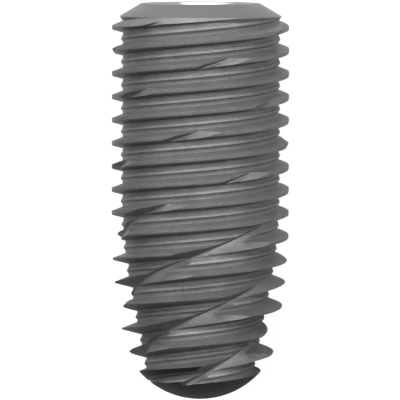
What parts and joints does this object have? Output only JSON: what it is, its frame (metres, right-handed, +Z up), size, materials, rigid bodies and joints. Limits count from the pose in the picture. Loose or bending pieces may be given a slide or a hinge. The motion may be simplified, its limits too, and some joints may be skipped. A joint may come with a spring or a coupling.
{
  "type": "dental implant",
  "caption": "Tapered screw-shaped dental implant lying on its side, with a bevelled collar, twin-start thread, helical cutting flutes, round apex and internal hexagon connection.",
  "frame": {"origin": "on the ground plane, under the middle of the implant's length and diameter, as it lies on its side", "axes": "+Y along the implant's axis towards the platform, -Y towards the apex, +Z up; the side shown in the picture faces up, rolled 30 degrees towards +X about the implant's axis"},
  "size_m": [0.0044, 0.01, 0.0045],
  "materials": {
    "blasted_titanium": "titanium, blasted and etched to a dark matt grey, with a smooth machined bevel and a bright inner connection"
  },
  "bodies": {
    "root": {"implant_fixture": "blasted_titanium"}
  },
  "joints": []
}
